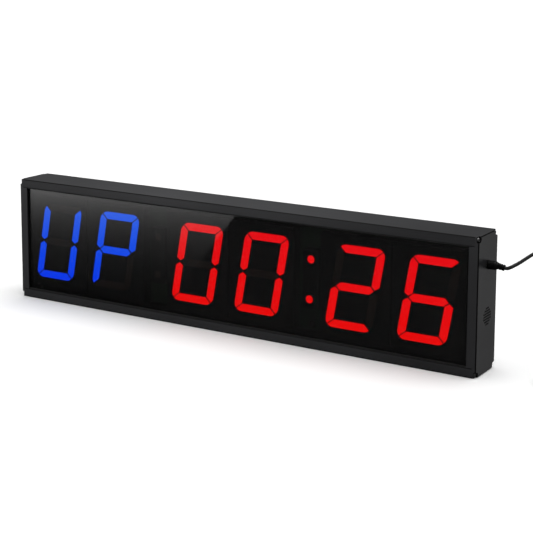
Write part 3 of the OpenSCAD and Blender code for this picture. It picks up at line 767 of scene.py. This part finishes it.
def make_adapter():
    """Two half shells with a seam between them, and a ribbed strain relief."""
    low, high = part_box("adapter_body")
    relief = 12.0
    width, height = (high[0] - low[0]) / MM, (high[2] - low[2]) / MM
    length = (high[1] - low[1]) / MM - relief
    middle = Vector(((low[0] + high[0]) / 2, low[1] + length / 2 * MM, low[2]))
    r, corner, seam, steps = 4.0, 5.0, 0.4, 7
    levels = [(r - r * math.cos(a), r - r * math.sin(a))
              for a in (math.radians(90 * k / steps) for k in range(steps + 1))]
    half = height / 2
    levels += [(half - 0.45, 0.0), (half - 0.3, 0.1), (half - 0.25, seam)]
    levels += [(height - z, inset) for z, inset in reversed(levels)]
    bm = bmesh.new()
    loft(bm, [[(x * MM, y * MM, z * MM) for x, y in
               rounded_outline(width - 2 * inset, length - 2 * inset, corner - inset)]
              for z, inset in levels])
    bmesh.ops.translate(bm, verts=bm.verts, vec=middle)
    cone = bmesh.new()
    rib_count, rib_pitch, rib_shrink = 5, 2.1, 0.36
    profile = [(4.6, -2.0), (4.6, 0.2)]
    for k in range(rib_count):
        z, ring = 0.8 + k * rib_pitch, 4.2 - k * rib_shrink
        profile += [(ring - 0.5, z), (ring, z + 0.25), (ring - 0.05, z + 1.25), (ring - 0.55, z + 1.5)]
    profile += [(2.4, relief - 0.3), (2.2, relief)]
    turned(cone, profile, 36)
    cord_end = middle + Vector((0, length / 2 * MM, half * MM))
    copied(bm, cone, Matrix.Translation(cord_end) @ facing((0, 1, 0)))
    cone.free()
    bmesh.ops.recalc_face_normals(bm, faces=bm.faces)
    return stands_for("fine_adapter_body", finished(bm, "adapter_body"), "adapter_body", "lead",
                      "adapter_plastic")


def make_blades():
    """Two flat contact blades with round tips, eased edges and a hole near the tip."""
    out = bmesh.new()
    for low, high in islands("adapter_blades"):
        thick, long, wide = ((high - low) / MM)[:]
        middle = (low + high) / 2
        bm = bmesh.new()
        corner, easing, shrunk = 1.8, 0.15, 0.97
        hole_r, hole_from_tip = 1.6, 3.4
        outline = rounded_outline(long, wide, corner)
        sections = ((-thick / 2, shrunk), (-thick / 2 + easing, 1.0),
                    (thick / 2 - easing, 1.0), (thick / 2, shrunk))
        loft(bm, [[(x * MM, (y * grow) * MM, (z * grow) * MM) for y, z in outline]
                  for x, grow in sections])
        drill = bmesh.new()
        turned(drill, [(hole_r, -2.0), (hole_r, 2.0)], 32)
        sideways = bmesh.new()
        tip = Matrix.Translation((0, (hole_from_tip - long / 2) * MM, 0))
        copied(sideways, drill, tip @ facing((1, 0, 0)))
        drill.free()
        blade = cut(bm, sideways)
        copied(out, blade, Matrix.Translation(middle))
        blade.free()
    return stands_for("fine_adapter_blades", finished(out, "adapter_blades"), "adapter_blades", "lead",
                      "plug_nickel")


for node, width, least in (
        ("top_rail", 0.002, 0.1), ("bottom_rail", 0.002, 0.1),
        ("left_end_cap", 0.00025, 0.0015), ("right_end_cap", 0.00025, 0.0002),
        ("front_panel", 0.0003, 0.0), ("back_panel", 0.0002, 0.01),
        ("panel_seals", 0.0002, 0.0), ("power_socket", 0.00012, 0.0003),
        ("coil_tie", 0.00012, 0.0003),
        ("hanger_left", 0.0003, 0.0015), ("hanger_right", 0.0003, 0.0015)):
    eased(node, width, least)
for node, shank in (("left_cap_screws", 10.0), ("right_cap_screws", 10.0), ("board_screws", 8.0)):
    make_screws(node, shank)
fittings = [make_plug_body(), make_plug_boot(), make_adapter(), make_blades()]
fittings += [nodes["plug_barrel"], bpy.data.objects["fine_coil_tie"]]


# ---- Stage ----

def flat_piece(name, corners, shader):
    mesh = bpy.data.meshes.new(name)
    mesh.from_pydata(corners, [], [range(len(corners))])
    mesh.materials.append(shader)
    obj = bpy.data.objects.new(name, mesh)
    scene.collection.objects.link(obj)
    return obj


def make_floor():
    """A pale matt floor, a little under the object, that mirrors don't show."""
    shader = bpy.data.materials.new("floor")
    shader.use_nodes = True
    bsdf = shader.node_tree.nodes["Principled BSDF"]
    bsdf.inputs["Base Color"].default_value = rgb(0.86)
    bsdf.inputs["Roughness"].default_value = 1.0
    bsdf.inputs["Specular IOR Level"].default_value = 0.0
    size, low = 40.0, -0.0002
    corners = [(-size, -size, low), (size, -size, low), (size, size, low), (-size, size, low)]
    floor = flat_piece("floor", corners, shader)
    floor.visible_glossy = False


def make_reflected_softbox():
    """A graded light card that only mirrors show: the sheen across the panel's upper left."""
    shader = bpy.data.materials.new("softbox")
    shader.use_nodes = True
    tree = shader.node_tree
    tree.nodes.clear()
    output = tree.nodes.new("ShaderNodeOutputMaterial")
    glow = tree.nodes.new("ShaderNodeEmission")
    tree.links.new(glow.outputs[0], output.inputs[0])
    place = tree.nodes.new("ShaderNodeNewGeometry")
    split = tree.nodes.new("ShaderNodeSeparateXYZ")
    tree.links.new(place.outputs["Position"], split.inputs[0])

    def chain(operation, a, b):
        made = tree.nodes.new("ShaderNodeMath")
        made.operation = operation
        for socket, value in zip(made.inputs, (a, b)):
            if isinstance(value, bpy.types.NodeSocket):
                tree.links.new(value, socket)
            else:
                socket.default_value = value
        return made.outputs[0]

    rise, doublings = 0.165, 27.0
    leftward, start = -0.9, -0.13
    gain, brightest = 1.9, 4.0
    fade = chain("POWER", 2.0, chain("MULTIPLY", chain("ADD", split.outputs["Z"], rise), doublings))
    side = chain("ADD", chain("MULTIPLY", split.outputs["X"], leftward), start)
    strength = chain("MULTIPLY", chain("MULTIPLY", fade, side), gain)
    tree.links.new(chain("MINIMUM", strength, brightest), glow.inputs["Strength"])
    left, away, bottom, top = -1.9, -1.2, -0.75, 0.3
    corners = [(left, away, bottom), (-1.245, away, bottom), (-0.745, away, -0.14),
               (-0.38, away, top), (left, away, top)]
    card = flat_piece("softbox_card", corners, shader)
    card.visible_camera = False
    card.visible_diffuse = False
    card.visible_shadow = False
    card.visible_transmission = False


def make_light(name, place, aim, size, power):
    data = bpy.data.lights.new(name, "AREA")
    data.shape = "RECTANGLE"
    data.size, data.size_y = size
    data.energy = power
    light = bpy.data.objects.new(name, data)
    scene.collection.objects.link(light)
    light.location = place
    light.rotation_euler = (Vector(aim) - Vector(place)).to_track_quat("-Z", "Y").to_euler()
    return light


def group(name, pieces):
    made = bpy.data.collections.new(name)
    for piece in pieces:
        made.objects.link(bpy.data.objects[piece])
    return made


def light_only(light, lit, shading=()):
    """Lets a light fall on the lit pieces alone, shaded only by the shading ones if any are named."""
    light.light_linking.receiver_collection = group("lit_by_" + light.name, lit)
    if shading:
        light.light_linking.blocker_collection = group("shading_" + light.name, shading)


def make_world():
    """White to the camera, dimmer as light on surfaces, and dimmest in mirrors."""
    world = bpy.data.worlds.new("studio")
    scene.world = world
    world.use_nodes = True
    tree = world.node_tree
    back = tree.nodes["Background"]
    back.inputs["Color"].default_value = rgb(1.0)
    path = tree.nodes.new("ShaderNodeLightPath")
    coords = tree.nodes.new("ShaderNodeTexCoord")
    split = tree.nodes.new("ShaderNodeSeparateXYZ")
    tree.links.new(coords.outputs["Generated"], split.inputs[0])
    up = tree.nodes.new("ShaderNodeMapRange")
    tree.links.new(split.outputs["Z"], up.inputs["Value"])
    for key, value in (("From Min", -0.02), ("From Max", 0.02), ("To Min", 0.06), ("To Max", 0.15)):
        up.inputs[key].default_value = value
    glossy, seen = (tree.nodes.new("ShaderNodeMix") for _ in range(2))
    tree.links.new(path.outputs["Is Glossy Ray"], glossy.inputs[0])
    glossy.inputs[2].default_value = 0.38
    tree.links.new(up.outputs[0], glossy.inputs[3])
    tree.links.new(path.outputs["Is Camera Ray"], seen.inputs[0])
    tree.links.new(glossy.outputs[0], seen.inputs[2])
    seen.inputs[3].default_value = 1.05
    tree.links.new(seen.outputs[0], back.inputs["Strength"])


def make_sun(strength, spread, from_right, from_back):
    """A wide even light from above, tipped a few degrees."""
    data = bpy.data.lights.new("overhead", "SUN")
    data.energy = strength
    data.angle = math.radians(spread)
    sun = bpy.data.objects.new("overhead", data)
    sun.rotation_euler = (math.radians(-from_back), math.radians(from_right), 0.0)
    scene.collection.objects.link(sun)


make_floor()
make_reflected_softbox()
make_world()
make_sun(strength=3.0, spread=54.0, from_right=5.5, from_back=4.0)
caps = ("fine_left_end_cap", "fine_right_end_cap")
right = make_light("right", place=(1.5, 1.6, -0.35), aim=(0.32, 0.0, 0.1), size=(0.5, 0.5), power=4.3)
light_only(right, caps, shading=("fine_plug_body", "fine_plug_boot"))
near = make_light("near", place=(-0.05, -0.2, 0.6), aim=(-0.05, 0.0, 0.15), size=(0.3, 0.3), power=8.0)
light_only(near, ("fine_top_rail", "fine_bottom_rail", *caps))
scene.view_settings.view_transform = "Standard"
